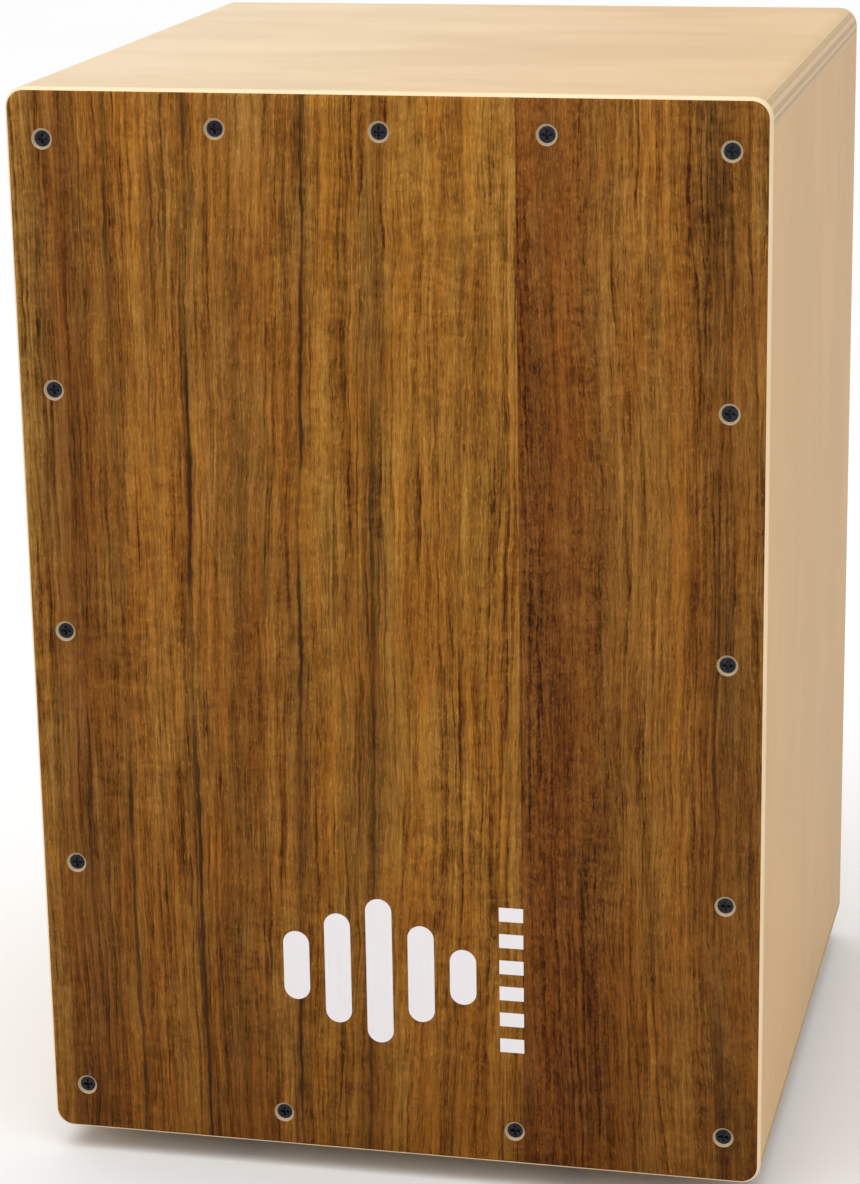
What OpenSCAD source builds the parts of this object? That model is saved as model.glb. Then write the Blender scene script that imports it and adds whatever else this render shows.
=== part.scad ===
// String cajon: a plywood box drum that the player sits on, with a screwed-on
// playing plate at the front, a sound port at the back, and tuned snare strings
// behind the plate. Front faces -Y, +X is the player's-view right, the feet
// stand on Z = 0. All sizes are millimetres.

/* [Cabinet] */
// Width of the box
body_w = 300; // [280:5:320]
// Depth of the box, from the face of the playing plate to the back face
body_d = 300; // [280:5:320]
// Height of the box without its feet
body_h = 440; // [440:5:480]
// Thickness of the top, bottom and side panels
panel_t = 12; // [11:0.5:13]
// Radius of the four long edges that run front to back
edge_r = 8; // [6:0.5:9]
// Width and depth of the tongue that locks a side panel into a groove
tongue = 4; // [3:0.5:4.5]
// Gap left for glue at the end of each tongue
glue_gap = 0.5; // [0.3:0.1:0.8]

/* [Playing plate] */
// Thickness of the pale core of the playing plate
core_t = 3.1; // [2.8:0.1:3.6]
// Thickness of the dark face veneer
veneer_t = 0.4; // [0.3:0.1:0.6]
// Radius rounded over round the outer face of the plates
round_over = 2.5; // [1.5:0.1:2.7]
// Distance of the side rows of screws from the box's sides
row_inset = 15; // [14.5:0.5:16]
// Distance of the corner screws from the box's top and bottom
corner_inset = 20; // [18:1:22]
// Spacing of the middle three screws of the top row
top_pitch = 65; // [60:1:68]
// Distance of each middle screw of the bottom row from the centre
bottom_offset = 49; // [45:1:50]
// Radius of the countersink at the surface of the plate
sink_r = 4.2; // [4:0.1:4.6]
// Radius of the screw head
head_r = 3.2; // [3:0.05:3.4]
// Radius over the thread of the plate screws
thread_r = 1.75; // [1.5:0.05:1.8]
// Length of the plate screws from the top of the head
plate_screw_l = 20; // [16:1:21]

/* [Frame battens and back] */
// Width of the battens glued into the front and back corners
batten_w = 15; // [15:1:18]
// Depth of the front battens, which the plate screws bite into
batten_d = 20; // [20:1:24]
// Depth of the back battens
back_batten_d = 15; // [12:1:20]
// Thickness of the back plate
back_t = 5; // [5:0.5:6]
// Radius of the round sound port
port_r = 57.5; // [50:0.5:62]
// Height of the middle of the port above the floor
port_z = 300; // [270:5:320]
// Chamfer on both edges of the port
port_bevel = 1; // [0.5:0.25:1.25]

/* [Feet] */
// Height of the rubber feet
foot_h = 10; // [9:0.5:12]
// Largest radius of a foot
foot_r = 16; // [15:0.5:18]
// Distance of each foot's middle from the centre, left and right
foot_x = 110; // [105:1:115]
// Distance of each foot's middle from the centre, front and back
foot_y = 105; // [98:1:108]

/* [String tuners] */
// Distance of each tuner from the centre
tuner_x = 70; // [68:1:76]
// Thread radius of the tuning screws
tuner_r = 3; // [3:0.1:3.2]
// Radial clearance of a tuning screw in the holes it turns in
running_gap = 0.05; // [0.03:0.01:0.08]
// Height of the tension block above the bottom panel's lower face, at rest
block_rise = 42; // [41:0.5:44]
// Height of a tension block
block_h = 12; // [11:0.5:13]
// Distance of each string from its tuner, at the tension block
string_low = 8; // [7.5:0.5:8.5]
// Position of the inner strings at the top anchor
string_in = 44; // [40:1:48]
// Position of the outer strings at the top anchor
string_out = 104; // [100:1:106]
// Radius of a string
string_r = 0.35; // [0.25:0.05:0.4]
// Distance of the strings behind the playing plate
string_back = 2.1; // [2:0.1:2.3]

/* [Emblem] */
// Thickness of the printed emblem, set level with the veneer
print_t = 0.2; // [0.1:0.05:0.25]
// Width of one bar of the emblem
bar_w = 11; // [8:0.5:12]
// Spacing of the bars
bar_pitch = 17.5; // [15:0.25:18]
// Height of the middle of the emblem above the floor
emblem_z = 91.5; // [85:0.5:95]

/* [Hidden] */

fn = 64;
eps = 0.01;
z_low = foot_h;
z_high = foot_h + body_h;
z_mid = foot_h + body_h / 2;
z_floor = z_low + panel_t;
z_ceiling = z_high - panel_t;
x_wall = body_w / 2 - panel_t;
y_face = -body_d / 2;
plate_t = core_t + veneer_t;
y_front = y_face + plate_t;
y_rear = body_d / 2 - back_t;

// Plate screws: the countersink is 90 degrees, and the head stops where the cone is as wide as it
hole_r = 2;
head_drop = sink_r - head_r - 0.05;
pilot_r = 1.25;
side_x = body_w / 2 - row_inset;
side_pitch = (body_h - 2 * corner_inset) / 4;
row_z_top = z_high - row_inset;
row_z_bottom = z_low + row_inset;
side_zs = [for (i = [0:4]) z_low + corner_inset + i * side_pitch];
side_points = [for (s = [-1, 1], z = side_zs) [s * side_x, z]];
top_points = [for (i = [-1:1]) [i * top_pitch, row_z_top]];
bottom_points = [for (s = [-1, 1]) [s * bottom_offset, row_z_bottom]];
plate_points = concat(side_points, top_points, bottom_points);

// String tuners: the screw stands in the middle of the front batten
tuner_y = y_front + 10;
string_y = y_front + string_back;
batten_top = z_floor + batten_w;
sheet_t = 2;
head_h = 6;
tuner_head_r = 5;
tuner_head_z = z_low + 0.5;
bush_flange_t = 1.5;
bush_flange_r = 7.4;
bush_r = 4;
bush_seat = tuner_head_z + head_h + 0.05 + bush_flange_t;
bracket_base_z = batten_top + sheet_t;
bracket_back_y = tuner_y + 7;
bracket_top_z = batten_top + 41;
screw_top = bracket_top_z + 4;
block_z = z_low + block_rise;
block_front = y_front + 0.5;
block_back = bracket_back_y - 0.3;
block_w = 26;
clip_z = bracket_base_z + 0.2;
clip_t = 0.8;
grub_r = 1.5;

// Top anchor: a steel angle on the back of the top batten, with the ball ends on its lower leg
anchor_z = z_ceiling - 30;
anchor_back = y_front + batten_d + sheet_t;
anchor_half = string_out + 11;
ball_r = 1.7;
ball_h = 3.8;
anchor_screw_xs = [-95, -30, 30, 95];

// Emblem: five upright bars like a level meter, and a column of short dashes
bar_heights = [30, 48, 63, 42, 24];
bar_x0 = -41.8;
dash_x = 48.3;
dash_count = 6;
dash_pitch = 11.4;

birch = [0.90, 0.78, 0.60];
spruce = [0.86, 0.72, 0.50];
ovangkol = [0.45, 0.28, 0.12];
steel = [0.70, 0.71, 0.73];
brass = [0.78, 0.62, 0.30];
black = [0.08, 0.08, 0.10];
rubber = [0.10, 0.10, 0.10];
white = [0.93, 0.91, 0.90];

// ---- shared shapes ----

// Carries an outline drawn in X and Z along Y, from one depth to another
module along_y(from, to) {
    translate([0, to, 0])
        rotate([90, 0, 0])
            linear_extrude(height = to - from)
                children();
}

// A rectangle with rounded corners, centred on the origin
module rounded_rect(w, h, r) {
    square([w - 2 * r, h], center = true);
    square([w, h - 2 * r], center = true);
    for (sx = [-1, 1], sz = [-1, 1]) {
        translate([sx * (w / 2 - r), sz * (h / 2 - r)])
            circle(r = r, $fn = fn);
    }
}

// A quarter of a disc, filling the corner between +X and +Y
module quarter_disc(r) {
    intersection() {
        circle(r = r, $fn = fn);
        square([r, r]);
    }
}

// A plate with the box's outline, outer face at Y = 0, its outer edge rounded over
module rounded_plate(t) {
    w = body_w - 2 * edge_r;
    h = body_h - 2 * edge_r;
    e = round_over;
    along_y(e, t)
        rounded_rect(body_w, body_h, edge_r);
    along_y(0, e)
        rounded_rect(body_w - 2 * e, body_h - 2 * e, edge_r - e);
    for (s = [-1, 1]) {
        // The rounded strip along the upper or lower edge
        translate([-w / 2, e, s * (body_h / 2 - e)])
            rotate([0, 90, 0])
                rotate([0, 0, s > 0 ? 180 : -90])
                    linear_extrude(height = w)
                        quarter_disc(e);
        // The rounded strip along the left or right edge
        translate([s * (body_w / 2 - e), e, -h / 2])
            rotate([0, 0, s > 0 ? -90 : 180])
                linear_extrude(height = h)
                    quarter_disc(e);
    }
    for (sx = [-1, 1], sz = [-1, 1]) {
        // The rounded-over corner, a quarter turn about the corner's own centre
        turn = sx > 0 ? (sz > 0 ? 0 : -90) : (sz > 0 ? 90 : 180);
        translate([sx * w / 2, e, sz * h / 2])
            rotate([90, 0, 0])
                rotate([0, 0, turn])
                    rotate_extrude(angle = 90, $fn = fn)
                        translate([edge_r - e, 0])
                            quarter_disc(e);
    }
}

// A straight round rod between two points
module rod(a, b, r) {
    d = b - a;
    translate(a)
        rotate([0, acos(d[2] / norm(d)), atan2(d[1], d[0])])
            cylinder(h = norm(d), r = r, $fn = 32);
}

// A round bar along Y, from one depth to another
module bar_y(x, z, from, to, r_from, r_to) {
    translate([x, from, z])
        rotate([-90, 0, 0])
            cylinder(h = to - from, r1 = r_from, r2 = r_to, $fn = 32);
}

// ---- cabinet ----

// The profile of the top panel: two upper corners rounded, two grooves below
module cap_profile() {
    difference() {
        union() {
            translate([-body_w / 2, -panel_t])
                square([body_w, panel_t - edge_r]);
            translate([-body_w / 2 + edge_r, -panel_t])
                square([body_w - 2 * edge_r, panel_t]);
            for (s = [-1, 1]) {
                translate([s * (body_w / 2 - edge_r), -edge_r])
                    circle(r = edge_r, $fn = fn);
            }
        }
        for (s = [-1, 1]) {
            translate([s * (body_w - panel_t) / 2 - tongue / 2, -panel_t - 1])
                square([tongue, tongue + 1]);
        }
        translate([-body_w / 2 - 1, -panel_t - edge_r])
            square([body_w + 2, edge_r]);
    }
}

module top_panel() {
    color(birch)
        translate([0, 0, z_high])
            along_y(y_front, y_rear)
                cap_profile();
}

module bottom_panel() {
    color(birch)
        difference() {
            translate([0, 0, z_low])
                along_y(y_front, y_rear)
                    mirror([0, 1, 0])
                        cap_profile();
            for (s = [-1, 1]) {
                // Counterbore for the head of a tuning screw, and the hole for its bush
                translate([s * tuner_x, tuner_y, z_low - 1])
                    cylinder(h = bush_seat - z_low + 1, r = bush_flange_r + 0.1, $fn = fn);
                translate([s * tuner_x, tuner_y, z_low])
                    cylinder(h = panel_t + 1, r = bush_r + 0.02, $fn = fn);
            }
            for (sx = [-1, 1], sy = [-1, 1]) {
                translate([sx * foot_x, sy * foot_y, z_low - 1])
                    cylinder(h = 11.5, r = 1.4, $fn = 32);
            }
        }
}

// A side panel, held at the top and bottom by a tongue in a groove
module side_panel(s) {
    long = z_ceiling - z_floor;
    color(birch)
        translate([s * (body_w - panel_t) / 2, 0, z_mid])
            along_y(y_front, y_rear) {
                square([panel_t, long], center = true);
                square([tongue, long + 2 * (tongue - glue_gap)], center = true);
            }
}

module left_side_panel() {
    side_panel(-1);
}

module right_side_panel() {
    side_panel(1);
}

// ---- playing plate ----

// Countersunk holes for the fifteen plate screws
module plate_holes() {
    for (p = plate_points) {
        bar_y(p[0], p[1], y_face - 1, y_front + 1, hole_r, hole_r);
        bar_y(p[0], p[1], y_face - 1, y_face + sink_r - hole_r, sink_r + 1, hole_r);
    }
}

module placed_plate() {
    translate([0, y_face, z_mid])
        rounded_plate(plate_t);
}

module front_plate() {
    color(birch)
        difference() {
            placed_plate();
            translate([-body_w, y_face - 1, 0])
                cube([2 * body_w, 1 + veneer_t, z_high + 10]);
            plate_holes();
        }
}

module front_veneer() {
    color(ovangkol)
        difference() {
            placed_plate();
            translate([-body_w, y_face + veneer_t, 0])
                cube([2 * body_w, plate_t, z_high + 10]);
            plate_holes();
            along_y(y_face - 1, y_face + print_t)
                emblem_outline();
        }
}

module emblem_outline() {
    for (i = [0:len(bar_heights) - 1]) {
        translate([bar_x0 + i * bar_pitch, emblem_z]) {
            square([bar_w, bar_heights[i] - bar_w], center = true);
            for (s = [-1, 1]) {
                translate([0, s * (bar_heights[i] - bar_w) / 2])
                    circle(d = bar_w, $fn = fn);
            }
        }
    }
    for (i = [0:dash_count - 1]) {
        translate([dash_x, emblem_z + (i - (dash_count - 1) / 2) * dash_pitch])
            square([10, 6], center = true);
    }
}

module printed_emblem() {
    color(white)
        along_y(y_face, y_face + print_t)
            emblem_outline();
}

module plate_screws() {
    y_head = y_face + head_drop;
    y_neck = y_head + head_r - thread_r;
    y_tip = y_head + plate_screw_l;
    color(black)
        for (p = plate_points) {
            difference() {
                union() {
                    bar_y(p[0], p[1], y_head, y_neck, head_r, thread_r);
                    bar_y(p[0], p[1], y_neck, y_tip - 3, thread_r, thread_r);
                    bar_y(p[0], p[1], y_tip - 3, y_tip, thread_r, 0.3);
                }
                // Cross recess for the driver
                for (long = [[4, 1], [1, 4]]) {
                    translate([p[0] - long[0] / 2, y_head - 1, p[1] - long[1] / 2])
                        cube([long[0], 2.3, long[1]]);
                }
            }
        }
}

// ---- back ----

module back_plate() {
    color(birch)
        difference() {
            translate([0, body_d / 2, z_mid])
                mirror([0, 1, 0])
                    rounded_plate(back_t);
            bar_y(0, port_z, y_rear - 1, body_d / 2 + 1, port_r, port_r);
            bar_port_bevel(y_rear - 1, port_bevel + 1, port_r + port_bevel + 1, port_r);
            bar_port_bevel(body_d / 2 - port_bevel, port_bevel + 1, port_r, port_r + port_bevel + 1);
        }
}

// The cone that bevels one edge of the port
module bar_port_bevel(y, long, r_from, r_to) {
    translate([0, y, port_z])
        rotate([-90, 0, 0])
            cylinder(h = long, r1 = r_from, r2 = r_to, $fn = fn);
}

// ---- battens ----

// An upright batten in a front or back corner
module upright(s, y, d) {
    translate([s * (x_wall - batten_w / 2), y + d / 2, z_mid])
        cube([batten_w, d, z_ceiling - z_floor], center = true);
}

// A crosswise batten between two uprights, standing on the given height
module crosswise(z, y, d) {
    half = x_wall - batten_w;
    translate([-half, y, z])
        cube([2 * half, d, batten_w]);
}

// Pilot holes that the plate screws bite into
module pilot_holes(points) {
    for (p = points) {
        bar_y(p[0], p[1], y_front - 1, y_face + head_drop + plate_screw_l + 0.5, pilot_r, pilot_r);
    }
}

module front_upright(s) {
    color(spruce)
        difference() {
            upright(s, y_front, batten_d);
            pilot_holes([for (z = side_zs) [s * side_x, z]]);
        }
}

module front_batten_left() {
    front_upright(-1);
}

module front_batten_right() {
    front_upright(1);
}

module front_batten_top() {
    color(spruce)
        difference() {
            crosswise(z_ceiling - batten_w, y_front, batten_d);
            pilot_holes(top_points);
            for (x = anchor_screw_xs) {
                bar_y(x, z_ceiling - 8, y_front + 5, y_front + batten_d + 1, pilot_r, pilot_r);
            }
        }
}

module front_batten_bottom() {
    color(spruce)
        difference() {
            crosswise(z_floor, y_front, batten_d);
            pilot_holes(bottom_points);
            for (s = [-1, 1]) {
                translate([s * tuner_x, tuner_y, z_floor - 1])
                    cylinder(h = batten_w + 2, r = bush_r + 0.02, $fn = fn);
                for (t = [-17, 17]) {
                    translate([s * tuner_x + t, tuner_y, batten_top - 11])
                        cylinder(h = 12, r = pilot_r, $fn = 32);
                }
            }
        }
}

module back_batten_left() {
    color(spruce)
        upright(-1, y_rear - back_batten_d, back_batten_d);
}

module back_batten_right() {
    color(spruce)
        upright(1, y_rear - back_batten_d, back_batten_d);
}

module back_batten_top() {
    color(spruce)
        crosswise(z_ceiling - batten_w, y_rear - back_batten_d, back_batten_d);
}

module back_batten_bottom() {
    color(spruce)
        crosswise(z_floor, y_rear - back_batten_d, back_batten_d);
}

// ---- feet ----

// A moulded foot: hollow below for the screw head, slightly wider where it meets the box
module foot(sx, sy) {
    color(rubber)
        translate([sx * foot_x, sy * foot_y, 0])
            rotate_extrude($fn = fn)
                polygon([
                    [8, 0], [foot_r - 3, 0], [foot_r - 2, 1], [foot_r, foot_h],
                    [2.3, foot_h], [2.3, foot_h - 5], [7, foot_h - 5], [7, 1]
                ]);
}

module foot_front_left() {
    foot(-1, -1);
}

module foot_front_right() {
    foot(1, -1);
}

module foot_back_left() {
    foot(-1, 1);
}

module foot_back_right() {
    foot(1, 1);
}

module foot_washers() {
    color(steel)
        for (sx = [-1, 1], sy = [-1, 1]) {
            translate([sx * foot_x, sy * foot_y, foot_h - 6])
                difference() {
                    cylinder(h = 1, r = 6.5, $fn = fn);
                    translate([0, 0, -1])
                        cylinder(h = 3, r = 2.3, $fn = 32);
                }
        }
}

module foot_screws() {
    color(steel)
        for (sx = [-1, 1], sy = [-1, 1]) {
            translate([sx * foot_x, sy * foot_y, foot_h - 6])
                difference() {
                    union() {
                        translate([0, 0, -2.4])
                            cylinder(h = 0.9, r1 = 3, r2 = 4, $fn = 32);
                        translate([0, 0, -1.5])
                            cylinder(h = 1.5, r = 4, $fn = 32);
                        cylinder(h = 13, r = 2, $fn = 32);
                        translate([0, 0, 13])
                            cylinder(h = 3, r1 = 2, r2 = 0.4, $fn = 32);
                    }
                    for (long = [[4.4, 1], [1, 4.4]]) {
                        translate([-long[0] / 2, -long[1] / 2, -3.4])
                            cube([long[0], long[1], 2.4]);
                    }
                }
        }
}

// ---- strings ----

// Where a string meets its tension block, and where its ball end sits on the anchor
function string_foot(s, side) = [s * (tuner_x + side * string_low), string_y, block_z + block_h - 6];

function string_top_x(s, side) = s * (side > 0 ? string_out : string_in);

function string_top(s, side) = [string_top_x(s, side), string_y, anchor_z + sheet_t + ball_h];

module string(s, side) {
    color(steel)
        rod(string_foot(s, side), string_top(s, side), string_r);
}

module string_left_outer() {
    string(-1, 1);
}

module string_left_inner() {
    string(-1, -1);
}

module string_right_inner() {
    string(1, -1);
}

module string_right_outer() {
    string(1, 1);
}

module string_ball_ends() {
    color(brass)
        for (s = [-1, 1], side = [-1, 1]) {
            top = string_top(s, side);
            difference() {
                translate([top[0], top[1], anchor_z + sheet_t])
                    cylinder(h = ball_h, r = ball_r, $fn = 32);
                rod(string_foot(s, side), top + (top - string_foot(s, side)) / 50, string_r + 0.3);
            }
        }
}

module string_anchor() {
    color(steel)
        difference() {
            union() {
                translate([-anchor_half, y_front + 0.5, anchor_z])
                    cube([2 * anchor_half, anchor_back - y_front - 0.5, sheet_t]);
                translate([-anchor_half, anchor_back - sheet_t, anchor_z])
                    cube([2 * anchor_half, sheet_t, 28]);
            }
            for (s = [-1, 1], side = [-1, 1]) {
                rod(string_foot(s, side), string_top(s, side), string_r + 0.3);
            }
            for (x = anchor_screw_xs) {
                bar_y(x, z_ceiling - 8, anchor_back - sheet_t - 1, anchor_back + 1, 2.05, 2.05);
            }
        }
}

module anchor_screws() {
    color(steel)
        for (x = anchor_screw_xs) {
            difference() {
                union() {
                    bar_y(x, z_ceiling - 8, anchor_back, anchor_back + 1.4, 3.6, 3.6);
                    bar_y(x, z_ceiling - 8, anchor_back + 1.4, anchor_back + 2.2, 3.6, 2.6);
                    bar_y(x, z_ceiling - 8, anchor_back - 12, anchor_back, thread_r, thread_r);
                    bar_y(x, z_ceiling - 8, anchor_back - 14, anchor_back - 12, 0.3, thread_r);
                }
                for (long = [[4, 1], [1, 4]]) {
                    translate([x - long[0] / 2, anchor_back + 0.8, z_ceiling - 8 - long[1] / 2])
                        cube([long[0], 2, long[1]]);
                }
            }
        }
}

// ---- tuners ----

// A bent sheet bracket: base on the batten, upright back, and an arm over the block
module tuner_bracket(s) {
    color(steel)
        translate([s * tuner_x, 0, 0])
            difference() {
                union() {
                    translate([-22, tuner_y - 8.5, batten_top])
                        cube([44, 17.5, sheet_t]);
                    translate([-14, bracket_back_y, batten_top])
                        cube([28, sheet_t, bracket_top_z - batten_top]);
                    translate([-14, tuner_y - 6, bracket_top_z - sheet_t])
                        cube([28, 15, sheet_t]);
                }
                translate([0, tuner_y, batten_top - 1])
                    cylinder(h = 50, r = tuner_r + running_gap, $fn = fn);
                for (t = [-17, 17]) {
                    translate([t, tuner_y, batten_top - 1])
                        cylinder(h = 4, r = 2.05, $fn = 32);
                }
            }
}

module tuner_bracket_left() {
    tuner_bracket(-1);
}

module tuner_bracket_right() {
    tuner_bracket(1);
}

module bracket_screws() {
    color(steel)
        for (s = [-1, 1], t = [-17, 17]) {
            translate([s * tuner_x + t, tuner_y, bracket_base_z])
                difference() {
                    union() {
                        cylinder(h = 1.4, r = 3.6, $fn = 32);
                        translate([0, 0, 1.4])
                            cylinder(h = 0.8, r1 = 3.6, r2 = 2.6, $fn = 32);
                        translate([0, 0, -9])
                            cylinder(h = 9, r = thread_r, $fn = 32);
                        translate([0, 0, -11])
                            cylinder(h = 2, r1 = 0.3, r2 = thread_r, $fn = 32);
                    }
                    for (long = [[4, 1], [1, 4]]) {
                        translate([-long[0] / 2, -long[1] / 2, 0.8])
                            cube([long[0], long[1], 2]);
                    }
                }
        }
}

// A flanged bush through the bottom panel and batten, which takes the pull of the screw
module tuner_bush(s) {
    color(brass)
        translate([s * tuner_x, tuner_y, 0])
            difference() {
                union() {
                    translate([0, 0, bush_seat - bush_flange_t])
                        cylinder(h = bush_flange_t, r = bush_flange_r, $fn = fn);
                    translate([0, 0, bush_seat - eps])
                        cylinder(h = batten_top - bush_seat + eps, r = bush_r, $fn = fn);
                }
                cylinder(h = 60, r = tuner_r + running_gap, $fn = fn);
            }
}

module tuner_bush_left() {
    tuner_bush(-1);
}

module tuner_bush_right() {
    tuner_bush(1);
}

// A socket-head screw standing head down: the key goes in from below
module tuning_screw(s) {
    color(steel)
        translate([s * tuner_x, tuner_y, 0])
            difference() {
                union() {
                    translate([0, 0, tuner_head_z])
                        cylinder(h = 0.6, r1 = tuner_head_r - 0.6, r2 = tuner_head_r, $fn = fn);
                    translate([0, 0, tuner_head_z + 0.6])
                        cylinder(h = head_h - 0.6, r = tuner_head_r, $fn = fn);
                    translate([0, 0, tuner_head_z + head_h - eps])
                        cylinder(h = screw_top - 1 - tuner_head_z - head_h + eps, r = tuner_r, $fn = fn);
                    translate([0, 0, screw_top - 1])
                        cylinder(h = 1, r1 = tuner_r, r2 = tuner_r - 1, $fn = fn);
                }
                translate([0, 0, tuner_head_z - 1])
                    cylinder(h = 4.5, r = 5 / sqrt(3), $fn = 6);
                // Groove for the retaining clip
                translate([0, 0, clip_z - 0.1])
                    difference() {
                        cylinder(h = clip_t + 0.2, r = tuner_r + 1, $fn = fn);
                        translate([0, 0, -1])
                            cylinder(h = clip_t + 2.2, r = tuner_r - 0.5, $fn = fn);
                    }
            }
}

module tuning_screw_left() {
    tuning_screw(-1);
}

module tuning_screw_right() {
    tuning_screw(1);
}

// A C-shaped clip in the screw's groove, open towards the back
module retaining_clip(s) {
    color(steel)
        translate([s * tuner_x, tuner_y, clip_z])
            difference() {
                cylinder(h = clip_t, r = 5.5, $fn = fn);
                translate([0, 0, -1])
                    cylinder(h = clip_t + 2, r = tuner_r - 0.45, $fn = fn);
                translate([-1.6, 0, -1])
                    cube([3.2, 7, clip_t + 2]);
            }
}

module retaining_clip_left() {
    retaining_clip(-1);
}

module retaining_clip_right() {
    retaining_clip(1);
}

// The block that the screw draws down: it slides against the bracket's back and pulls two strings
module tension_block(s) {
    color(brass)
        difference() {
            translate([s * tuner_x - block_w / 2, block_front, block_z])
                cube([block_w, block_back - block_front, block_h]);
            translate([s * tuner_x, tuner_y, block_z - 1])
                cylinder(h = block_h + 2, r = tuner_r + running_gap, $fn = fn);
            for (side = [-1, 1]) {
                foot = string_foot(s, side);
                top = string_top(s, side);
                rod(foot - (top - foot) / 200, foot + (top - foot) / 20, string_r + 0.35);
                grub_hole(s, side);
            }
        }
}

module grub_hole(s, side) {
    translate([s * tuner_x + s * side * (block_w / 2 + 1), string_y + 0.3, block_z + block_h - 4])
        rotate([0, -s * side * 90, 0])
            cylinder(h = 6, r = grub_r + 0.02, $fn = 32);
}

module tension_block_left() {
    tension_block(-1);
}

module tension_block_right() {
    tension_block(1);
}

// Two grub screws in the ends of a block, one against each string
module string_grub_screws(s) {
    color(black)
        for (side = [-1, 1]) {
            translate([s * tuner_x + s * side * block_w / 2, string_y + 0.3, block_z + block_h - 4])
                rotate([0, -s * side * 90, 0])
                    difference() {
                        cylinder(h = 4, r = grub_r, $fn = 32);
                        translate([0, 0, -1])
                            cylinder(h = 2.5, r = 1.5 / sqrt(3), $fn = 6);
                    }
        }
}

module string_grub_screws_left() {
    string_grub_screws(-1);
}

module string_grub_screws_right() {
    string_grub_screws(1);
}

top_panel();
bottom_panel();
left_side_panel();
right_side_panel();
front_plate();
front_veneer();
printed_emblem();
back_plate();
front_batten_top();
front_batten_bottom();
front_batten_left();
front_batten_right();
back_batten_top();
back_batten_bottom();
back_batten_left();
back_batten_right();
plate_screws();
foot_front_left();
foot_front_right();
foot_back_left();
foot_back_right();
foot_washers();
foot_screws();
string_anchor();
anchor_screws();
string_ball_ends();
string_left_outer();
string_left_inner();
string_right_inner();
string_right_outer();
tuner_bracket_left();
tuner_bracket_right();
bracket_screws();
tuner_bush_left();
tuner_bush_right();
tuning_screw_left();
tuning_screw_right();
retaining_clip_left();
retaining_clip_right();
tension_block_left();
tension_block_right();
string_grub_screws_left();
string_grub_screws_right();
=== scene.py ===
"""Looks for the string cajon: camera, soft studio light, and a node material for every piece."""
import math
import bmesh
import bpy
from mathutils import Matrix, Vector


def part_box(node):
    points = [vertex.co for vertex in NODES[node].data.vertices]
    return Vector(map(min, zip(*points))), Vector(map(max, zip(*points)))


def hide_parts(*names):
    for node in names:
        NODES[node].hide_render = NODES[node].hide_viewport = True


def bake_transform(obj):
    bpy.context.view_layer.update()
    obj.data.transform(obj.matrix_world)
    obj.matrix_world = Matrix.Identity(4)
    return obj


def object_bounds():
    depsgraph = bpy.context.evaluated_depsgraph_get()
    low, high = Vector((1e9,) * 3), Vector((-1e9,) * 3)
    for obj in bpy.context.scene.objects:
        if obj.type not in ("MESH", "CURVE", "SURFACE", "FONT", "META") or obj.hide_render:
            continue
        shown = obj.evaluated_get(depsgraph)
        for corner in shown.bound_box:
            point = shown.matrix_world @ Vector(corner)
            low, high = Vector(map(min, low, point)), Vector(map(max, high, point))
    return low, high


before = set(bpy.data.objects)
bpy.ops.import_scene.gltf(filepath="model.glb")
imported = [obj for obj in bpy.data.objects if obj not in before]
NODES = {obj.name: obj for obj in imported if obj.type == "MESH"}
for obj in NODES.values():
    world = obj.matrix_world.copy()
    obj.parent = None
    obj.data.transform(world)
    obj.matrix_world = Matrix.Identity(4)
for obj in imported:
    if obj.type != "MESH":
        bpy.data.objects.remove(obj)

CAD_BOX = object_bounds()
X, Y, Z = 0, 1, 2

# Sizes of the object in millimetres, from the box of the CAD model and the height of its feet
HALF_WIDTH = round(CAD_BOX[1][X] * 1000, 3)
BACK_Y = round(CAD_BOX[1][Y] * 1000, 3)
FOOT_HEIGHT = 10.0
PLATE_HEIGHT = round(CAD_BOX[1][Z] * 1000, 3) - FOOT_HEIGHT
PANEL = 12.0
BACK_PANEL = 5.0


# ---------------------------------------------------------------- camera

def add_camera():
    """Camera at the photograph's angle: a little from the right and above, slightly rolled."""
    azimuth, elevation, roll = math.radians(13.2), math.radians(16.2), math.radians(-0.96)
    distance = 1.4725
    target = Vector((-0.0181, 0.0, 0.2093))
    away = Vector((math.sin(azimuth) * math.cos(elevation),
                   -math.cos(azimuth) * math.cos(elevation),
                   math.sin(elevation)))
    right = (-away).cross(Vector((0, 0, 1))).normalized()
    up = right.cross(-away)
    turned_right = right * math.cos(roll) + up * math.sin(roll)
    turned_up = up * math.cos(roll) - right * math.sin(roll)
    data = bpy.data.cameras.new("camera")
    data.sensor_width = 36.0
    data.lens = 101.4
    data.clip_start = 0.01
    camera = bpy.data.objects.new("camera", data)
    columns = Matrix((turned_right, turned_up, away)).transposed()
    camera.matrix_world = Matrix.Translation(target + away * distance) @ columns.to_4x4()
    bpy.context.scene.collection.objects.link(camera)
    bpy.context.scene.camera = camera


# ---------------------------------------------------------------- light and floor

def add_softbox(name, place, aim, size, power):
    """An area light at a place, aimed at a point."""
    data = bpy.data.lights.new(name, "AREA")
    data.shape = "RECTANGLE"
    data.size, data.size_y = size
    data.energy = power
    light = bpy.data.objects.new(name, data)
    light.location = place
    light.rotation_euler = (Vector(aim) - Vector(place)).to_track_quat("-Z", "Y").to_euler()
    bpy.context.scene.collection.objects.link(light)


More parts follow.
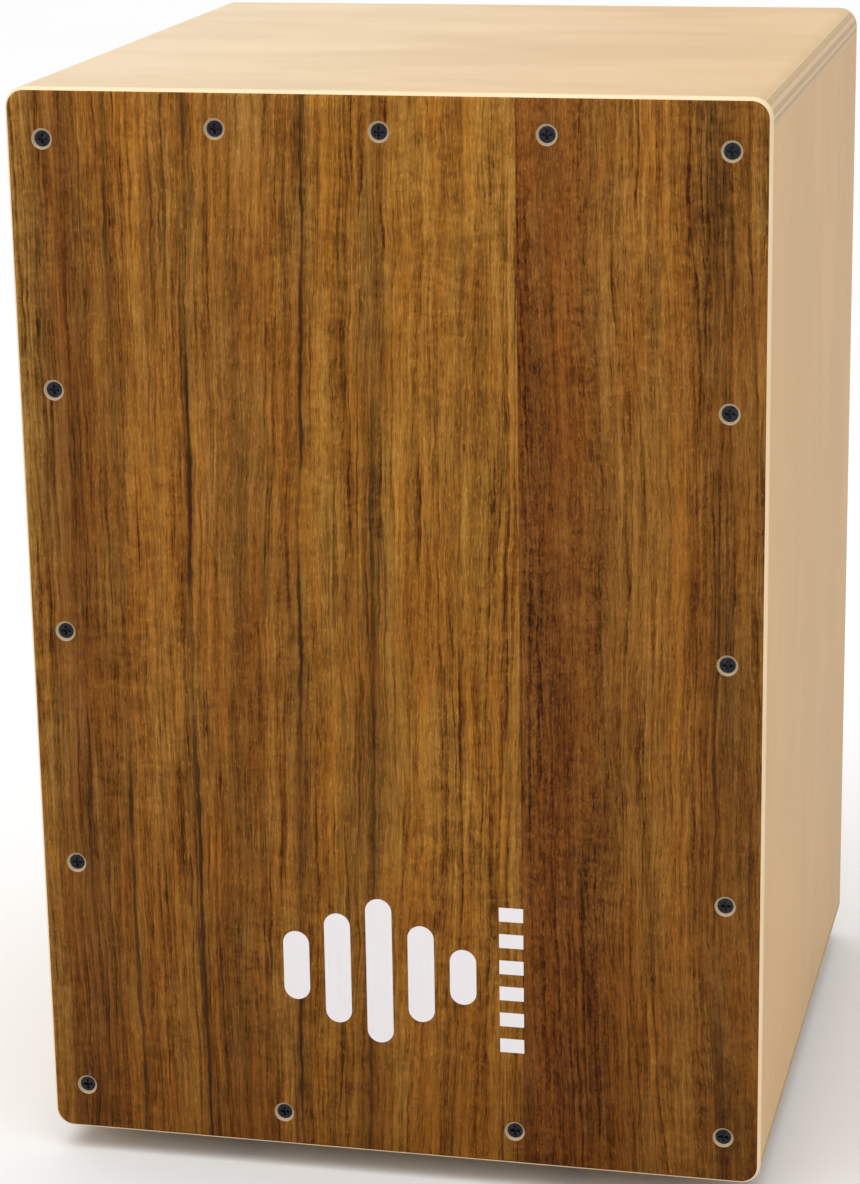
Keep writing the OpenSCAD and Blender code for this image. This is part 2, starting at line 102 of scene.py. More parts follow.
def add_studio():
    """White surroundings, a little brighter where they are seen, soft light from above, and a pale floor."""
    scene = bpy.context.scene
    scene.view_settings.view_transform = "Standard"
    world = bpy.data.worlds.new("studio")
    world.use_nodes = True
    tree = world.node_tree
    tree.nodes["Background"].inputs["Color"].default_value = (1.0, 1.0, 1.0, 1.0)
    light_strength, extra_when_seen = 0.75, 0.25
    seen = tree.nodes.new("ShaderNodeLightPath").outputs["Is Camera Ray"]
    strength = tree.nodes.new("ShaderNodeMath")
    strength.operation = "MULTIPLY_ADD"
    tree.links.new(seen, strength.inputs[0])
    strength.inputs[1].default_value = extra_when_seen
    strength.inputs[2].default_value = light_strength
    tree.links.new(strength.outputs[0], tree.nodes["Background"].inputs["Strength"])
    scene.world = world
    overhead = bpy.data.lights.new("overhead", "SUN")
    overhead.energy = 1.6
    overhead.angle = math.radians(60)
    lamp = bpy.data.objects.new("overhead", overhead)
    lamp.rotation_euler = (math.radians(8), math.radians(-6), 0)
    scene.collection.objects.link(lamp)
    add_softbox("key", (-0.7, -0.5, 1.9), (0.0, 0.0, 0.35), (0.9, 0.9), 3.0)

    mesh = bpy.data.meshes.new("floor")
    reach = 30.0
    corners = [(-reach, -reach, 0), (reach, -reach, 0), (reach, reach, 0), (-reach, reach, 0)]
    mesh.from_pydata(corners, [], [(0, 1, 2, 3)])
    floor = bpy.data.objects.new("floor", mesh)
    scene.collection.objects.link(floor)
    s = Shade("studio_floor", roughness=0.9, specular=0.1)
    s.colour(s.mix(s.noise(s.mm(), (400, 400, 400), 2), tone(228, 228, 228), tone(232, 232, 232)))
    mesh.materials.append(s.mat)


# ---------------------------------------------------------------- materials

def tone(red, green, blue):
    """A display colour, 0 to 255, as the linear colour that shaders use."""
    def linear(v):
        v /= 255.0
        return v / 12.92 if v <= 0.04045 else ((v + 0.055) / 1.055) ** 2.4
    return (linear(red), linear(green), linear(blue), 1.0)


class Shade:
    """One node material. Positions are the object's own, in millimetres."""

    def __init__(self, name, roughness=0.5, metallic=0.0, coat=0.0, coat_roughness=0.2, specular=0.5):
        self.mat = bpy.data.materials.new(name)
        self.mat.use_nodes = True
        self.tree = self.mat.node_tree
        self.tree.nodes.clear()
        self.out = self.tree.nodes.new("ShaderNodeOutputMaterial")
        self.bsdf = self.tree.nodes.new("ShaderNodeBsdfPrincipled")
        self.tree.links.new(self.bsdf.outputs[0], self.out.inputs["Surface"])
        self.bsdf.inputs["Roughness"].default_value = roughness
        self.bsdf.inputs["Metallic"].default_value = metallic
        self.bsdf.inputs["Coat Weight"].default_value = coat
        self.bsdf.inputs["Coat Roughness"].default_value = coat_roughness
        self.bsdf.inputs["Specular IOR Level"].default_value = specular
        self._mm = None

    def put(self, socket, value):
        """Links a socket, or sets a number or colour."""
        if isinstance(value, bpy.types.NodeSocket):
            self.tree.links.new(value, socket)
        else:
            socket.default_value = value

    def mm(self):
        """The position in millimetres."""
        if self._mm is None:
            coords = self.tree.nodes.new("ShaderNodeTexCoord").outputs["Object"]
            self._mm = self.vec("SCALE", coords, factor=1000.0)
        return self._mm

    def normal(self):
        return self.tree.nodes.new("ShaderNodeTexCoord").outputs["Normal"]

    def vec(self, op, a, b=None, factor=None):
        node = self.tree.nodes.new("ShaderNodeVectorMath")
        node.operation = op
        self.put(node.inputs[0], a)
        if b is not None:
            self.put(node.inputs[1], b)
        if factor is not None:
            self.put(node.inputs["Scale"], factor)
        return node.outputs["Value" if op == "LENGTH" else "Vector"]

    def math(self, op, a, b=0.0, c=0.0, clamp=False):
        node = self.tree.nodes.new("ShaderNodeMath")
        node.operation = op
        node.use_clamp = clamp
        for socket, value in zip(node.inputs, (a, b, c)):
            self.put(socket, value)
        return node.outputs[0]

    def split(self, vector):
        node = self.tree.nodes.new("ShaderNodeSeparateXYZ")
        self.put(node.inputs[0], vector)
        return node.outputs[0], node.outputs[1], node.outputs[2]

    def join(self, x, y, z):
        node = self.tree.nodes.new("ShaderNodeCombineXYZ")
        for socket, value in zip(node.inputs, (x, y, z)):
            self.put(socket, value)
        return node.outputs[0]

    def noise(self, place, size, detail=2, rough=0.5, warp=0.0, shift=(0.0, 0.0, 0.0)):
        """Noise from 0 to 1, whose features are as large as size, in millimetres."""
        scaled = self.vec("DIVIDE", place, size)
        if any(shift):
            scaled = self.vec("ADD", scaled, shift)
        node = self.tree.nodes.new("ShaderNodeTexNoise")
        self.put(node.inputs["Vector"], scaled)
        node.inputs["Scale"].default_value = 1.0
        node.inputs["Detail"].default_value = detail
        node.inputs["Roughness"].default_value = rough
        node.inputs["Distortion"].default_value = warp
        return node.outputs["Fac"]

    def band(self, value, low, high, to_low=0.0, to_high=1.0):
        """Maps low..high smoothly to to_low..to_high, clamped."""
        node = self.tree.nodes.new("ShaderNodeMapRange")
        node.interpolation_type = "SMOOTHSTEP"
        settings = {"Value": value, "From Min": low, "From Max": high, "To Min": to_low, "To Max": to_high}
        for name, setting in settings.items():
            self.put(node.inputs[name], setting)
        return node.outputs["Result"]

    def spread(self, noise, low=0.0, high=1.0):
        """Noise, which seldom leaves 0.35 to 0.65, spread over low..high."""
        return self.band(noise, 0.35, 0.65, low, high)

    def centred(self, noise, width):
        """Noise from 0 to 1 as a shift either way, width from end to end."""
        return self.math("MULTIPLY_ADD", noise, width, -width / 2)

    def ramp(self, value, stops, blend="LINEAR"):
        """A colour ramp over 0..1; a stop is (place, colour)."""
        node = self.tree.nodes.new("ShaderNodeValToRGB")
        ramp = node.color_ramp
        ramp.interpolation = blend
        ramp.elements.remove(ramp.elements[1])
        for i, (place, colour) in enumerate(stops):
            element = ramp.elements[0] if i == 0 else ramp.elements.new(place)
            element.position = place
            element.color = colour if isinstance(colour, tuple) else (colour, colour, colour, 1.0)
        self.put(node.inputs[0], value)
        return node.outputs["Color"]

    def mix(self, share, a, b, kind="MIX"):
        node = self.tree.nodes.new("ShaderNodeMix")
        node.data_type = "RGBA"
        node.blend_type = kind
        self.put(node.inputs["Factor"], share)
        self.put(node.inputs[6], a)
        self.put(node.inputs[7], b)
        return node.outputs[2]

    def scale(self, colour, by):
        """A colour times a number."""
        plain = colour[:3] if isinstance(colour, tuple) else colour
        return self.vec("SCALE", plain, factor=by)

    def bump(self, height, depth, strength=1.0):
        """Bump of a height from 0 to 1, depth millimetres deep."""
        node = self.tree.nodes.new("ShaderNodeBump")
        node.inputs["Strength"].default_value = strength
        node.inputs["Distance"].default_value = depth / 1000.0
        self.put(node.inputs["Height"], height)
        self.put(self.bsdf.inputs["Normal"], node.outputs[0])
        self.put(self.bsdf.inputs["Coat Normal"], node.outputs[0])

    def colour(self, value):
        self.put(self.bsdf.inputs["Base Color"], value)

    def rough(self, value):
        self.put(self.bsdf.inputs["Roughness"], value)


def stretched(along, across, axis):
    """A feature size that is long along one axis."""
    return tuple(along if i == axis else across for i in range(3))


def darker(colour, red, green, blue):
    """A display colour with each channel taken down, as a linear colour."""
    return tone(colour[0] - red, colour[1] - green, colour[2] - blue)


def birch(name, grain, thickness, low, high, plies, face, warm, drift):
    """Clear-lacquered birch plywood: face grain along one axis, plies stacked along another from low to high.
    The face drifts from one tone to a warmer one along the drift axis; this drift is painted light, a broad
    painted highlight and shade across the panel."""
    s = Shade(name, roughness=0.55, specular=0.12)
    p = s.mm()
    parts = s.split(p)
    clouds = s.noise(p, stretched(150, 60, grain), 3, 0.55, 0.6)
    streak = s.noise(p, stretched(90, 2.2, grain), 4, 0.6)
    fine = s.noise(p, stretched(22, 0.45, grain), 2, 0.5)
    dash = s.band(s.noise(p, stretched(7, 0.35, grain), 1, 0.4, shift=(9.0, 4.0, 2.0)), 0.62, 0.76)
    shade = s.math("ADD", s.spread(clouds, 0.965, 1.03), s.spread(streak, -0.022, 0.022))
    shade = s.math("ADD", shade, s.spread(fine, -0.02, 0.02))
    shade = s.math("MULTIPLY_ADD", dash, -0.07, shade)
    # Painted light: the drift between the two tones stands in for a broad highlight across the panel, and the
    # clouds add random tone.
    along = s.band(parts[drift], -HALF_WIDTH, HALF_WIDTH)
    light_drift_and_clouds = s.math("ADD", along, s.band(clouds, 0.3, 0.7, 0.12, -0.12), clamp=True)
    face_colour = s.scale(s.mix(light_drift_and_clouds, tone(*face), tone(*warm)), shade)

    # The stacked plies in the edge: every other one is cut across its grain, with glue between them
    depth = s.math("DIVIDE", s.math("SUBTRACT", parts[thickness], low), high - low)
    wander = s.centred(s.noise(p, (60, 60, 60), 1, 0.5, shift=(3.0, 7.0, 1.0)), 0.008)
    ply = s.math("MULTIPLY", s.math("ADD", depth, wander), float(plies))
    from_glue = s.math("PINGPONG", ply, 1.0)
    glue = s.band(s.math("MINIMUM", from_glue, s.math("SUBTRACT", 1.0, from_glue)), 0.0, 0.07, 1.0, 0.0)
    end = s.noise(p, stretched(0.7, 0.7, thickness), 2, 0.6)
    long_grain = s.noise(p, (5, 5, 0.5) if thickness == Z else (0.5, 5, 5), 2, 0.6)
    cross_colour = s.scale(darker(face, 24, 31, 38), s.band(end, 0.2, 0.8, 0.86, 1.1))
    long_colour = s.scale(darker(face, 8, 12, 16), s.band(long_grain, 0.2, 0.8, 0.94, 1.05))
    stack = s.mix(s.math("FLOOR", s.math("MODULO", ply, 2.0)), long_colour, cross_colour)
    stack = s.mix(s.math("MULTIPLY", glue, 0.3), stack, darker(face, 70, 78, 80))
    inner = s.band(s.math("MINIMUM", depth, s.math("SUBTRACT", 1.0, depth)), 0.55 / plies, 1.0 / plies)
    s.colour(s.mix(inner, face_colour, stack))
    s.rough(s.spread(streak, 0.5, 0.62))
    s.bump(s.math("ADD", s.math("MULTIPLY", fine, 0.5), s.math("MULTIPLY", dash, -0.5)), 0.035, 0.5)
    return s.mat


class Veneer(Shade):
    """The dark face veneer: two leaves side by side, their grain upright. Places are in millimetres."""

    SEAM_X = 53.0
    STILL_Z = 280.0
    RIGHT_LEAF_SHIFT = 400.0

    def __init__(self):
        super().__init__("dark_veneer_figured", roughness=0.42, specular=0.06)
        self.x, self.y, self.z = self.split(self.mm())
        self.right_leaf = self.math("GREATER_THAN", self.x, self.SEAM_X)
        jitter = self.centred(self.noise(self.mm(), (3.5, 3.5, 11), 2, 0.6, shift=(2.0, 5.0, 6.0)), 1.6)
        self.bent = self.math("ADD", self.leaning(), jitter)
        self.nearly_straight = self.math("ADD", self.x, jitter)
        apart = self.math("MULTIPLY_ADD", self.right_leaf, self.RIGHT_LEAF_SHIFT, self.bent)
        self.grain_place = self.join(apart, self.y, self.z)
        self.middle = self.streaks(3.4, 80.0, (5.0, 0.0, 8.0))
        self.fine = self.streaks(1.5, 45.0, (2.0, 0.0, 2.0))
        self.hair = self.streaks(0.6, 11.0, (4.0, 0.0, 6.0))
        pore_noise = self.noise(self.grain_place, (0.45, 0.45, 5.0), 1, 0.5, shift=(1.0, 6.0, 2.0))
        self.pore = self.band(pore_noise, 0.6, 0.74)

    def leaning(self):
        """The place across the plate, as the grain leans and wanders, differently in the two leaves."""
        rise = self.math("DIVIDE", self.math("SUBTRACT", self.STILL_Z, self.z), PLATE_HEIGHT)
        lean = self.band(self.x, -110.0, -40.0, 1.0, 11.0)
        lean = self.math("ADD", lean, self.math("MULTIPLY", self.right_leaf, -19.0))
        slow = self.noise(self.mm(), (60, 60, 170), 2, 0.5, shift=(2.0, 0.0, 5.0))
        quick = self.noise(self.mm(), (12, 12, 40), 2, 0.5, shift=(7.0, 0.0, 1.0))
        bent = self.math("MULTIPLY_ADD", rise, lean, self.x)
        bent = self.math("ADD", bent, self.centred(slow, 9.0))
        return self.math("ADD", bent, self.centred(quick, 2.6))

    def streaks(self, width, length, shift):
        """Noise in streaks that are long in the grain."""
        return self.noise(self.grain_place, (width, width, length), 2, 0.5, shift=shift)

    def across(self, stops, blend="LINEAR"):
        """A ramp across the plate, following the grain. A stop is a place and a colour or a number."""
        share = self.math("DIVIDE", self.math("ADD", self.bent, HALF_WIDTH), 2 * HALF_WIDTH)
        return self.ramp(share, [((at + HALF_WIDTH) / (2 * HALF_WIDTH), value) for at, value in stops], blend)

    def bands(self):
        """The wood's own colour: broad upright bands of seven tones."""
        olive, gold, amber = tone(144, 103, 50), tone(152, 102, 40), tone(140, 91, 37)
        brown, dark = tone(127, 82, 34), tone(110, 70, 29)
        chestnut, russet = tone(117, 69, 27), tone(103, 59, 23)
        left = self.across([
            (-150, olive), (-140, brown), (-130, russet), (-120, brown), (-100, amber), (-85, amber),
            (-65, brown), (-55, brown), (-45, amber), (-35, brown), (-25, gold), (-5, dark),
            (10, gold), (20, amber), (35, gold), (60, brown)], "B_SPLINE")
        right = self.across([
            (45, chestnut), (75, chestnut), (90, brown), (110, amber), (120, brown),
            (130, dark), (145, brown)], "B_SPLINE")
        return self.mix(self.right_leaf, left, right)

    def streaked(self):
        """How light the wood is, about 1, from its streaks and growth layers."""
        wide = self.streaks(9.0, 260.0, (1.0, 0.0, 3.0))
        calm = self.band(self.streaks(16.0, 300.0, (9.0, 0.0, 4.0)), 0.38, 0.62, 0.45, 1.2)
        shade = self.math("ADD", 1.0, self.spread(wide, -0.15, 0.15))
        shade = self.math("ADD", shade, self.spread(self.middle, -0.15, 0.15))
        shade = self.math("MULTIPLY_ADD", self.spread(self.fine, -0.19, 0.19), calm, shade)
        shade = self.math("ADD", shade, self.band(self.hair, 0.34, 0.66, -0.19, 0.19))

        # Growth layers: each darkens slowly across and ends sharply
        layer_width = 4.6
        uneven = self.streaks(8.0, 220.0, (6.0, 0.0, 2.0))
        counted = self.math("MULTIPLY_ADD", uneven, 4.0, self.math("DIVIDE", self.bent, layer_width))
        layer = self.math("FRACT", self.math("ADD", counted, 60.0))
        layer = self.math("SUBTRACT", self.math("POWER", layer, 3.0), 0.25)
        return self.math("MULTIPLY_ADD", layer, self.math("MULTIPLY", calm, -0.4), shade)

    def shimmer(self):
        """Light and dark across the grain, strongest in the curly parts."""
        curly = self.noise(self.mm(), (40, 40, 90), 1, 0.5, shift=(6.0, 1.0, 0.0))
        curl = self.noise(self.mm(), (7.5, 7.5, 5.0), 3, 0.55, 0.8, shift=(3.0, 0.0, 4.0))
        blotch = self.noise(self.mm(), (24, 24, 15), 2, 0.5, 0.5, shift=(8.0, 0.0, 3.0))
        strength = self.band(curly, 0.42, 0.6, 0.4, 1.0)
        shimmer = self.math("MULTIPLY", self.spread(curl, -0.14, 0.14), strength)
        return self.math("ADD", shimmer, self.spread(blotch, -0.06, 0.06))

    def specked(self, shade):
        """Adds curly flecks in the right leaf, and short pores, some dark and some catching the light."""
        fleck = self.noise(self.grain_place, (1.6, 1.6, 3.0), 2, 0.6, 1.0, shift=(8.0, 2.0, 1.0))
        zone = self.across([
            (50, 0.0), (55, 1.0), (70, 0.4), (80, 0.8), (90, 0.15), (110, 0.15), (125, 0.5), (145, 0.1)])
        zone = self.math("MULTIPLY", zone, self.right_leaf)
        flecks = self.math("MULTIPLY", self.band(fleck, 0.45, 0.6), zone)
        shade = self.math("MULTIPLY_ADD", flecks, -0.36, shade)
        glint_noise = self.noise(self.grain_place, (0.5, 0.5, 2.4), 1, 0.5, shift=(5.0, 1.0, 7.0))
        shade = self.math("MULTIPLY_ADD", self.pore, -0.34, shade)
        return self.math("MULTIPLY_ADD", self.band(glint_noise, 0.56, 0.72), 0.46, shade)

    def painted_light_falloff(self, shade):
        """Painted shade and light: darkens the wood towards the lower end of the leaves and lightens it near
        the top, where the light from above falls off.
        """
        height = self.math("DIVIDE", self.math("SUBTRACT", self.z, FOOT_HEIGHT), PLATE_HEIGHT)
        shade = self.math("MULTIPLY", shade, self.ramp(height, [
            (0.0, 0.68), (0.12, 0.8), (0.3, 0.93), (0.6, 0.98), (0.85, 1.08), (1.0, 1.16)]))
        return self.math("MAXIMUM", shade, 0.2)

    def tinted(self, shade):
        """Darker wood is redder, lighter wood more golden, and the hue drifts between olive and red-brown."""
        hue_noise = self.noise(self.grain_place, (11, 11, 75), 3, 0.55, shift=(3.0, 4.0, 8.0))
        hue = self.spread(hue_noise, -1.0, 1.0)
        green = self.math("MULTIPLY_ADD", hue, 0.075, 0.965)
        green = self.math("MULTIPLY", self.math("POWER", shade, 1.22), green)
        blue = self.math("MULTIPLY_ADD", hue, 0.16, 0.76)
        blue = self.math("MULTIPLY", self.math("POWER", shade, 1.6), blue)
        return self.join(shade, green, blue)

    def veins(self):
        """Dark veins, two small knots, and fine dark lines near them."""
        # Each kind of vein is a half width and a strength
        strong, medium, faint = (1.6, 1.0), (1.2, 0.7), (1.0, 0.4)
        veins_at = ((-140, faint), (-110, strong), (-95, faint), (-80, strong), (-50, faint),
                    (-35, strong), (-5, medium), (30, faint), (130, medium), (135, faint))
        swell_noise = self.noise(self.grain_place, (6, 6, 16), 3, 0.6, shift=(5.0, 2.0, 3.0))
        swell = self.spread(swell_noise, 0.75, 1.7)
        veins = 0.0
        for centre, (half_width, strength) in veins_at:
            away = self.math("ABSOLUTE", self.math("SUBTRACT", self.bent, float(centre)))
            away = self.math("MULTIPLY", away, swell)
            heart = self.band(away, half_width * 0.3, half_width, strength, 0.0)
            halo = self.band(away, 0.0, half_width * 3.2, strength * 0.4, 0.0)
            veins = self.math("MAXIMUM", veins, self.math("MAXIMUM", heart, halo))
        knot_stretch = 6.5
        for knot_x, knot_z in ((-140.0, 355.0), (-50.0, 360.0)):
            knot_across = self.math("SUBTRACT", self.nearly_straight, knot_x)
            knot_along = self.math("DIVIDE", self.math("SUBTRACT", self.z, knot_z), knot_stretch)
            away = self.vec("LENGTH", self.join(knot_across, 0.0, knot_along))
            veins = self.math("MAXIMUM", veins, self.band(away, 0.4, 1.15, 1.0, 0.0))
        gaps = self.noise(self.mm(), (16, 16, 70), 2, 0.5, shift=(0.0, 3.0, 9.0))
        broken = self.band(gaps, 0.34, 0.55, 0.35, 1.0)
        zone = self.across([
            (-150, 0.3), (-110, 0.7), (-80, 0.8), (-60, 0.2), (-35, 0.9), (-5, 0.7), (10, 0.2), (100, 0.3),
            (130, 0.8), (150, 0.4)])
        lines = self.band(self.streaks(1.5, 110.0, (3.0, 0.0, 1.0)), 0.56, 0.68)
        lines = self.math("MULTIPLY", self.math("MULTIPLY", lines, zone), 0.75)
        return self.math("MAXIMUM", self.math("MULTIPLY", veins, broken), lines)


def veneer():
    """The veneer under a thin satin finish, dark at its veins and seam, with painted shade towards its lower
    end and a painted highlight, pale, on its cut edges.
    """
    s = Veneer()
    shade = s.math("ADD", s.streaked(), s.shimmer())
    # Painted shade: the veneer darkens towards its lower end, where the light from above falls off.
    shade = s.painted_light_falloff(s.specked(shade))
    wood = s.vec("MULTIPLY", s.bands(), s.tinted(shade))
    wood = s.mix(s.math("MULTIPLY", s.veins(), 0.88), wood, tone(46, 26, 8))
    seam = s.band(s.math("ABSOLUTE", s.math("SUBTRACT", s.x, s.SEAM_X)), 0.1, 0.45, 0.3, 0.0)
    wood = s.mix(seam, wood, tone(50, 28, 10))
    # Painted highlight: the cut slopes of the countersinks and the rounded edges are coloured pale, like the
    # lacquer catching the light.
    cut_edge_highlight = s.band(s.math("ABSOLUTE", s.split(s.normal())[Y]), 0.72, 0.8, 1.0, 0.0)
    s.colour(s.mix(cut_edge_highlight, wood, tone(182, 160, 128)))
    s.rough(s.spread(s.middle, 0.36, 0.5))
    relief = s.math("ADD", s.math("MULTIPLY", s.fine, 0.3), s.math("MULTIPLY", s.hair, 0.3))
    s.bump(s.math("MULTIPLY_ADD", s.pore, -0.6, relief), 0.04, 0.4)
    return s.mat


def core():
    """The pale core of the playing plate. A glue line shows in its rounded edge and the countersinks."""
    glue_y = -147.9
    rim = 5.0
    middle_z = FOOT_HEIGHT + PLATE_HEIGHT / 2
    s = Shade("pale_core", roughness=0.45, specular=0.25)
    p = s.mm()
    x, y, z = s.split(p)
    grain = s.noise(p, (1.2, 0.4, 14), 3, 0.6)
    clouds = s.noise(p, (30, 30, 60), 2, 0.5)
    shade = s.math("ADD", s.band(grain, 0.25, 0.75, 0.95, 1.04), s.band(clouds, 0.3, 0.7, -0.03, 0.03))
    glue = s.band(s.math("ABSOLUTE", s.math("SUBTRACT", y, glue_y)), 0.05, 0.3, 0.35, 0.0)
    edge = s.mix(glue, s.scale(tone(240, 212, 172), shade), tone(190, 150, 105))

    # Inside its rim the plate is bare, rotary-cut wood
    within_x = s.math("LESS_THAN", s.math("ABSOLUTE", x), HALF_WIDTH - rim)
    from_middle = s.math("ABSOLUTE", s.math("SUBTRACT", z, middle_z))
    within_z = s.math("LESS_THAN", from_middle, PLATE_HEIGHT / 2 - rim)
    inside = s.math("MULTIPLY", within_x, within_z)
    rotary = s.noise(p, (14, 14, 120), 3, 0.6, 0.8, shift=(4.0, 1.0, 2.0))
    streak = s.noise(p, (1.6, 1.6, 60), 4, 0.6, shift=(1.0, 3.0, 5.0))
    figure = s.math("ADD", s.spread(rotary, 0.93, 1.06), s.spread(streak, -0.06, 0.06))
    s.colour(s.mix(inside, edge, s.scale(tone(176, 154, 122), figure)))
    s.bump(grain, 0.03, 0.5)
    return s.mat


def softwood(name, grain):
    """Planed spruce with growth rings along the grain."""
    s = Shade(name, roughness=0.62)
    p = s.mm()
    rings = s.noise(p, stretched(220, 3.2, grain), 2, 0.5, 0.4)
    fine = s.noise(p, stretched(30, 0.6, grain), 3, 0.6)
    colour = s.ramp(rings, [
        (0.3, tone(228, 196, 146)), (0.5, tone(214, 176, 122)),
        (0.62, tone(190, 146, 92)), (0.75, tone(224, 190, 140))])
    s.colour(s.scale(colour, s.band(fine, 0.2, 0.8, 0.92, 1.05)))
    s.rough(s.band(fine, 0.2, 0.8, 0.55, 0.7))
    s.bump(fine, 0.06, 0.6)
    return s.mat


def metal(name, light, dark, roughness, spot=1.6, depth=0.02):
    """Metal with faint mottling, small scratches and uneven gloss."""
    s = Shade(name, roughness=roughness, metallic=1.0)
    p = s.mm()
    mottle = s.noise(p, (spot, spot, spot), 3, 0.6)
    scratch = s.noise(p, (0.12, 0.12, 4.0), 2, 0.5, 0.3)
    s.colour(s.mix(s.band(mottle, 0.3, 0.7), tone(*dark), tone(*light)))
    uneven = s.band(mottle, 0.25, 0.75, roughness * 0.8, roughness * 1.25)
    s.rough(s.math("ADD", uneven, s.band(scratch, 0.55, 0.75, 0.0, 0.08)))
    s.bump(scratch, depth, 0.4)
    return s.mat


def rubber():
    """Matt moulded rubber, faintly dusty."""
    s = Shade("moulded_rubber", roughness=0.75, specular=0.35)
    p = s.mm()
    dust = s.noise(p, (6, 6, 6), 3, 0.6)
    speck = s.noise(p, (0.35, 0.35, 0.35), 2, 0.6)
    s.colour(s.mix(s.band(dust, 0.4, 0.75), tone(34, 34, 35), tone(52, 51, 49)))
    s.rough(s.band(dust, 0.3, 0.7, 0.68, 0.85))
    s.bump(speck, 0.08, 0.6)
    return s.mat


def print_ink():
    """White screen print: opaque, with the wood's texture just showing through it."""
    s = Shade("white_print_ink", roughness=0.55, coat=0.1, coat_roughness=0.4)
    p = s.mm()
    weave = s.noise(p, (1.0, 1.0, 26), 3, 0.6)
    speck = s.noise(p, (0.5, 0.5, 0.5), 2, 0.6)
    shade = s.math("ADD", s.band(weave, 0.2, 0.8, 0.97, 1.01), s.band(speck, 0.3, 0.8, -0.02, 0.01))
    s.colour(s.scale(tone(240, 235, 236), shade))
    s.rough(s.band(speck, 0.2, 0.8, 0.48, 0.62))
    s.bump(weave, 0.03, 0.5)
    return s.mat


def winding():
    """Steel wire wound round a string's core: bright turns, with painted shade in the gaps between them."""
    s = Shade("wound_steel", roughness=0.3, metallic=1.0)
    p = s.mm()
    wire_width = 0.3
    turn = s.math("FRACT", s.math("DIVIDE", s.split(p)[Z], wire_width))
    gap = s.band(s.math("ABSOLUTE", s.math("SUBTRACT", turn, 0.5)), 0.3, 0.5)
    tarnish = s.noise(p, (2, 2, 18), 3, 0.6)
    bright = s.mix(s.spread(tarnish), tone(176, 174, 170), tone(204, 204, 206))
    # Painted shade: the gaps between the turns are coloured dark, as if in shadow.
    s.colour(s.mix(s.math("MULTIPLY", gap, 0.7), bright, tone(70, 68, 66)))
    s.rough(s.band(tarnish, 0.3, 0.7, 0.38, 0.24))
    s.bump(s.math("SUBTRACT", 1.0, gap), 0.06, 0.8)
    return s.mat


def paint(material, *names):
    """Gives CAD nodes a material."""
    for name in names:
        mesh = NODES[name].data
        if not mesh.materials:
            mesh.materials.append(material)
        for i in range(len(mesh.materials)):
            mesh.materials[i] = material


def both(*stems):
    """The names of the left and the right node of each stem."""
    return [f"{stem}_{side}" for stem in stems for side in ("left", "right")]


def paint_panels():
    """Birch plywood on the five panels, each with its own tones."""
    top_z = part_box("top_panel")[1].z * 1000
    low_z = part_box("bottom_panel")[0].z * 1000
    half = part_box("right_side_panel")[1].x * 1000
    # The second tone and the last axis give each face a drift of painted light.
    top = birch("birch_top", X, Z, top_z - PANEL, top_z, 7, (216, 194, 162), (205, 174, 134), X)
    bottom = birch("birch_bottom", X, Z, low_z, low_z + PANEL, 7, (208, 178, 138), (212, 184, 146), X)
    right = birch("birch_right", Z, X, half - PANEL, half, 7, (211, 174, 127), (207, 172, 128), Y)
    left = birch("birch_left", Z, X, -half, PANEL - half, 7, (210, 179, 138), (207, 176, 134), Y)
    back = birch("birch_back", Z, Y, BACK_Y - BACK_PANEL, BACK_Y, 3, (214, 185, 145), (209, 179, 138), X)
    paint(top, "top_panel")
    paint(bottom, "bottom_panel")
    paint(right, "right_side_panel")
    paint(left, "left_side_panel")
    paint(back, "back_plate")


def paint_all():
    """A material for every CAD node but the four strings, which are replaced."""
    paint_panels()
    paint(veneer(), "front_veneer")
    paint(core(), "front_plate")
    paint(softwood("spruce_upright", Z), *both("front_batten", "back_batten"))
    paint(softwood("spruce_cross", X),
          "front_batten_top", "front_batten_bottom", "back_batten_top", "back_batten_bottom")
    paint(print_ink(), "printed_emblem")
    paint(rubber(), *both("foot_front", "foot_back"))
    zinc = metal("zinc_plated_steel", (190, 193, 197), (174, 177, 182), 0.32, depth=0.008)
    brass = metal("machined_brass", (212, 174, 98), (200, 161, 86), 0.27, depth=0.008)
    black = metal("black_oxide", (60, 59, 66), (36, 36, 41), 0.42, 1.2)
    paint(black, "plate_screws", *both("retaining_clip", "string_grub_screws"))
    paint(zinc, "foot_washers", "foot_screws", "string_anchor", "anchor_screws", "bracket_screws",
          *both("tuner_bracket", "tuning_screw"))
    paint(brass, "string_ball_ends", *both("tuner_bush", "tension_block"))


# ---------------------------------------------------------------- strings

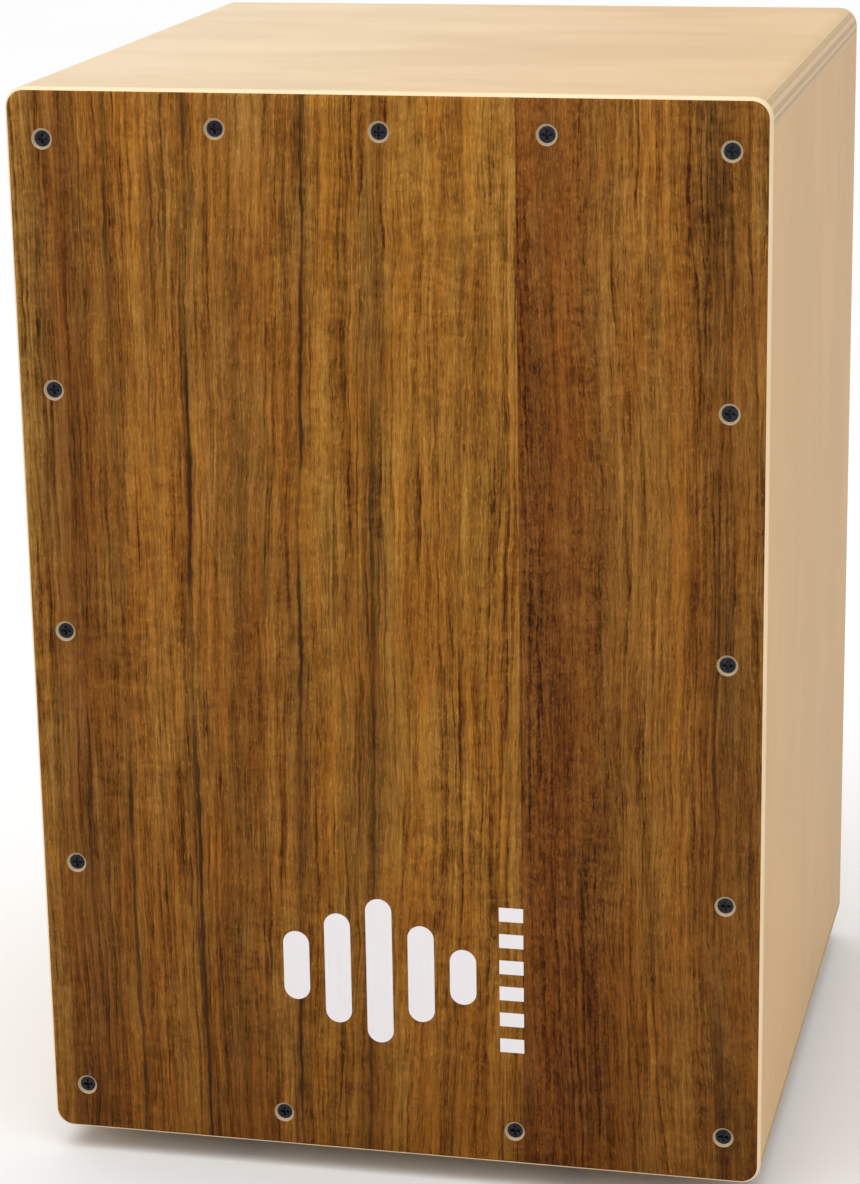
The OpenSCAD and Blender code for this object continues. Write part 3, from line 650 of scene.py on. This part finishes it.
def wound_string(side, lane, material):
    """A snare string: a straight wound length with a lock twist below its ball end.
    Lengths are in metres."""
    twist_length, twist_pitch = 0.022, 0.0009
    twist_height, twist_run_in = 0.00018, 0.0008
    plain_steps, twist_steps, sides = 180, 220, 12
    node = f"string_{side}_{lane}"
    low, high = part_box(node)
    radius = (high.y - low.y) / 2
    near, far = sorted((low.x + radius, high.x - radius), key=abs)
    foot_x, top_x = (near, far) if lane == "outer" else (far, near)
    foot = Vector((foot_x, (low.y + high.y) / 2, low.z))
    top = Vector((top_x, (low.y + high.y) / 2, high.z))
    along = (top - foot).normalized()
    out = Vector((0, -1, 0))
    turned = along.cross(out)
    length = (top - foot).length
    twist_start = length - twist_length
    plain = [length * i / plain_steps for i in range(plain_steps + 1)]
    steps = [at for at in plain if at < twist_start]
    steps += [twist_start + (length - twist_start) * i / twist_steps for i in range(twist_steps + 1)]
    bm = bmesh.new()
    rings = []
    for at in steps:
        thick = 0.0
        if at > twist_start:
            thick = min((at - twist_start) / twist_run_in, 1.0) * twist_height
        core_radius = radius * (0.97 if thick == 0.0 else 0.8)
        ring = []
        for k in range(sides):
            angle = 2 * math.pi * k / sides
            ridge = thick * (1.0 + 0.5 * math.cos(angle - 2 * math.pi * at / twist_pitch))
            spoke = out * math.cos(angle) + turned * math.sin(angle)
            ring.append(bm.verts.new(foot + along * at + spoke * (core_radius + ridge)))
        rings.append(ring)
    for one, two in zip(rings, rings[1:]):
        for k in range(sides):
            bm.faces.new((one[k], one[(k + 1) % sides], two[(k + 1) % sides], two[k])).smooth = True
    bm.faces.new(list(reversed(rings[0])))
    bm.faces.new(rings[-1])
    bmesh.ops.recalc_face_normals(bm, faces=bm.faces)
    mesh = bpy.data.meshes.new(f"wound_{node}")
    bm.to_mesh(mesh)
    bm.free()
    mesh.materials.append(material)
    piece = bpy.data.objects.new(f"wound_{node}", mesh)
    bpy.context.scene.collection.objects.link(piece)
    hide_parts(node)
    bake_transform(piece)


add_camera()
add_studio()
paint_all()
string_steel = winding()
for string_side in ("left", "right"):
    for string_lane in ("inner", "outer"):
        wound_string(string_side, string_lane, string_steel)
